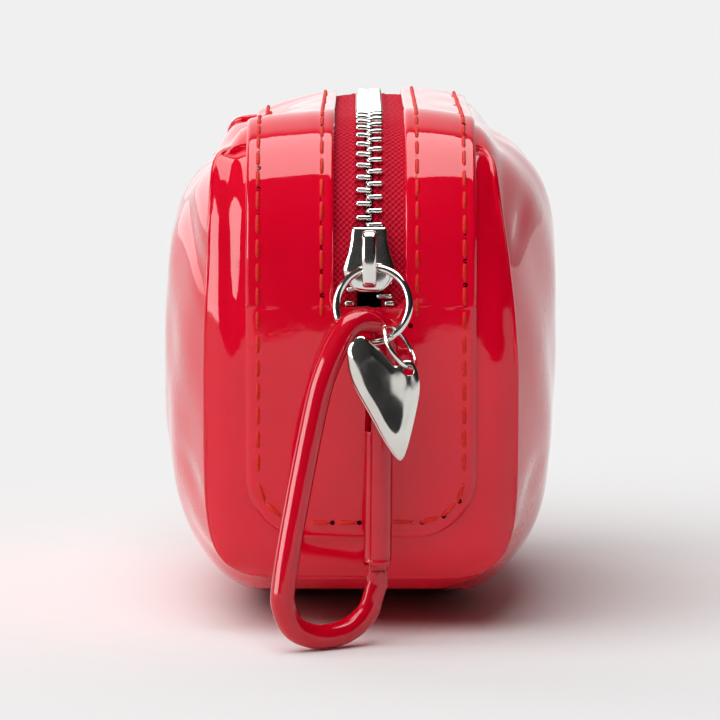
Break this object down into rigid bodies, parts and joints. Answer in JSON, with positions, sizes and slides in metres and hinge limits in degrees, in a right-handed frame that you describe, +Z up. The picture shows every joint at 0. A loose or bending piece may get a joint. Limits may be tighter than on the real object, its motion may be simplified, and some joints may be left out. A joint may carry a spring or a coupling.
{
  "type": "zip around pouch wallet",
  "caption": "Small boxy padded patent pouch with a metal zip from end to end, a heart charm and a spring clip on a ring.",
  "frame": {"origin": "centre of the flattened patch of the underside, on the surface it stands on", "axes": "+Y along the pouch away from the end where the closed slider hangs, +X across it, +Z up"},
  "size_m": [0.064, 0.1238, 0.0822],
  "materials": {
    "patent_leather": "high gloss patent",
    "lining_cloth": "plain woven",
    "zip_tape": "woven tape",
    "nickel": "polished nickel plate",
    "red_enamel": "gloss enamel",
    "spring_steel": "plain",
    "thread": "twisted polyester thread"
  },
  "bodies": {
    "pouch": {"body_wrap": "patent_leather", "end_panel_near": "patent_leather", "end_panel_far": "patent_leather", "lining": "lining_cloth", "zip_band": "patent_leather", "zip_tape_left": "zip_tape", "zip_tape_right": "zip_tape", "zip_teeth_left": "nickel", "zip_teeth_right": "nickel", "zip_stops_near": "nickel", "zip_stop_far": "nickel", "stitches_outer": "thread", "stitches_inner": "thread"},
    "slider": {"slider_body": "nickel", "slider_bridge": "nickel"},
    "ring": {"jump_ring": "nickel"},
    "charm": {"heart_charm": "nickel", "charm_loop": "nickel"},
    "clip": {"clip_frame": "red_enamel"},
    "gate": {"clip_gate": "red_enamel", "gate_pin": "spring_steel", "gate_plunger": "spring_steel", "gate_spring": "spring_steel"}
  },
  "joints": [
    {"name": "slider_travel", "type": "hinge", "parent": "pouch", "child": "slider", "pos_m": [0.0013, -0.033, 0.06], "axis": [-1, 0, 0], "range_deg": [0, 90], "deforming": ["zip_teeth_left", "zip_teeth_right"]},
    {"name": "ring_swing", "type": "hinge", "parent": "slider", "child": "ring", "pos_m": [0.00131, -0.05702, 0.05848], "axis": [-0.9664, 0.2077, -0.1515], "range_deg": [0, 100]},
    {"name": "charm_swing", "type": "hinge", "parent": "ring", "child": "charm", "pos_m": [0.00515, -0.06063, 0.04866], "axis": [0.782, -0.0346, 0.6223], "range_deg": [0, 8]},
    {"name": "clip_swing", "type": "hinge", "parent": "ring", "child": "clip", "pos_m": [0.00041, -0.05973, 0.04746], "axis": [-0.5342, 0.8451, 0.0209], "range_deg": [0, 14]},
    {"name": "gate_open", "type": "hinge", "parent": "clip", "child": "gate", "pos_m": [0.00256, -0.05756, 0.01461], "axis": [0.5342, -0.8451, -0.0209], "range_deg": [0, 16], "stiffness_Nm_per_rad": 0.02, "springref_deg": -11.46}
  ]
}
